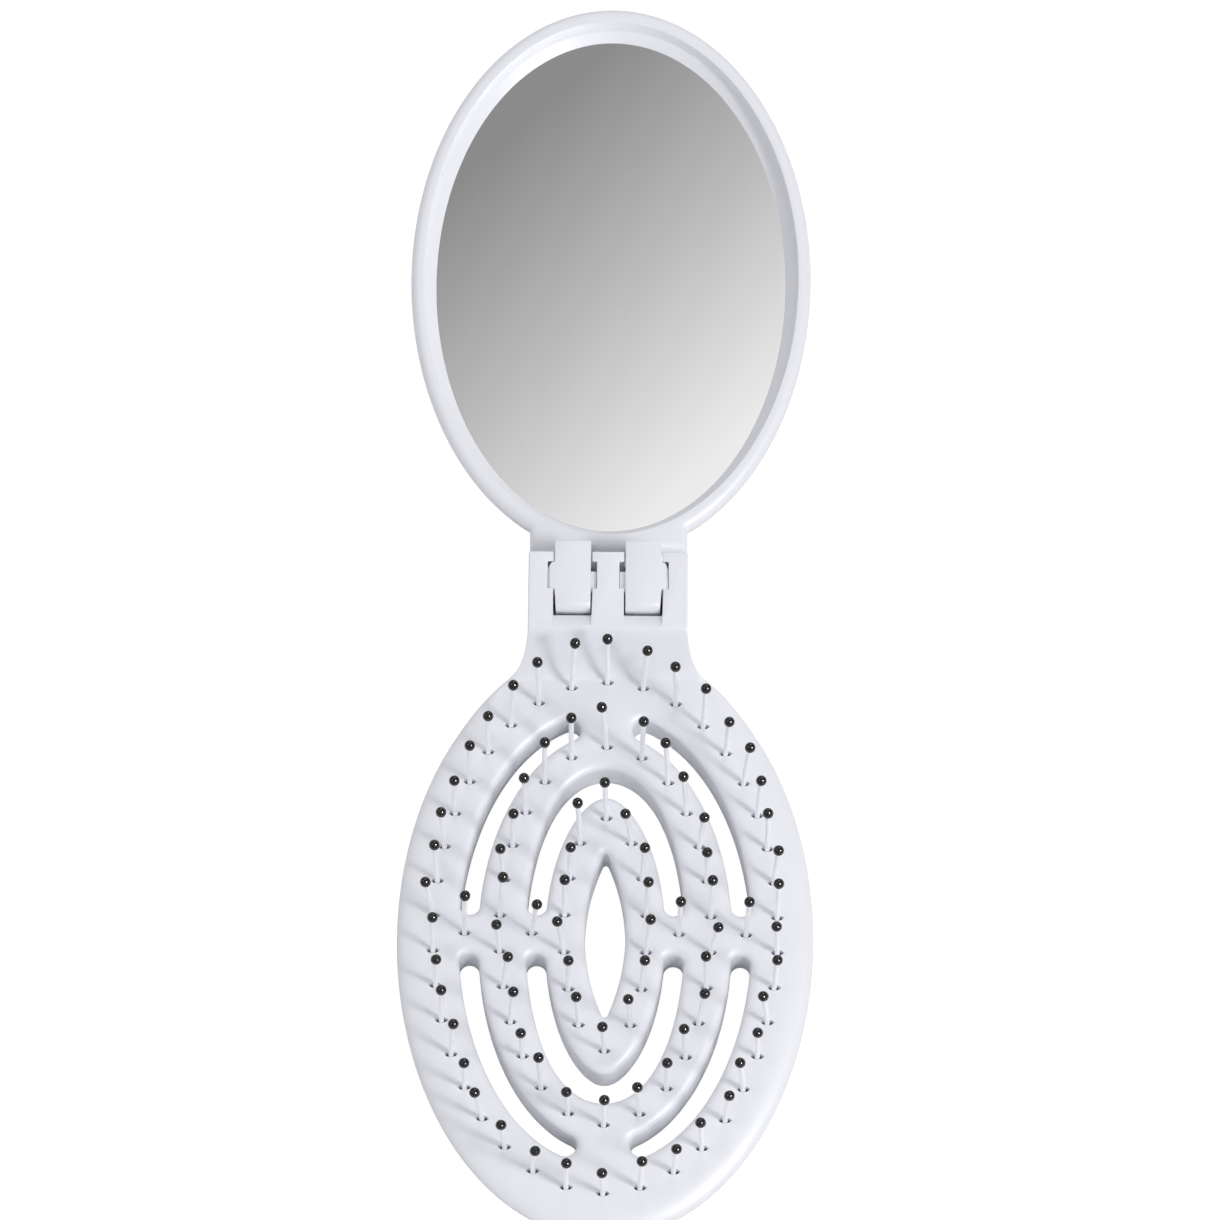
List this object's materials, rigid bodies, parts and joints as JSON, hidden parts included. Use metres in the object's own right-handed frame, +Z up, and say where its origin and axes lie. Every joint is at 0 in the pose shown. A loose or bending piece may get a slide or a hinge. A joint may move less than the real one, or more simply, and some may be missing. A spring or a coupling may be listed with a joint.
{
  "type": "folding hairbrush",
  "caption": "Oval vented hairbrush with ball-tipped pins, hinged to an oval lid that holds a mirror and folds over the pins.",
  "frame": {"origin": "on the surface that the open brush rests on, straight under the middle of the hinge axis", "axes": "+X along the hinge axis, +Y towards the mirror lid, +Z up, the way the pins and the mirror face"},
  "size_m": [0.064, 0.2082, 0.0216],
  "materials": {
    "white_plastic": "smooth glossy moulding",
    "pin_nylon": "smooth moulded nylon, slightly see-through",
    "black_resin": "glossy dipped bead",
    "black_rubber": "matt sheet",
    "adhesive_film": "thin double-sided adhesive",
    "mirror": "silvered flat glass"
  },
  "bodies": {
    "brush": {"front_shell": "white_plastic", "rear_cover": "white_plastic", "pin_cushion": "black_rubber", "pin_backing": "white_plastic", "outer_pins": "pin_nylon", "middle_pins": "pin_nylon", "inner_pins": "pin_nylon", "crossbar_pins": "pin_nylon", "outer_tips": "black_resin", "middle_tips": "black_resin", "inner_tips": "black_resin", "crossbar_tips": "black_resin"},
    "lid": {"lid_shell": "white_plastic", "mirror_adhesive": "adhesive_film", "mirror_glass": "mirror"}
  },
  "joints": [
    {"name": "lid_hinge", "type": "hinge", "parent": "brush", "child": "lid", "pos_m": [0, 0, 0.01394], "axis": [1, 0, 0], "range_deg": [0, 180]}
  ]
}
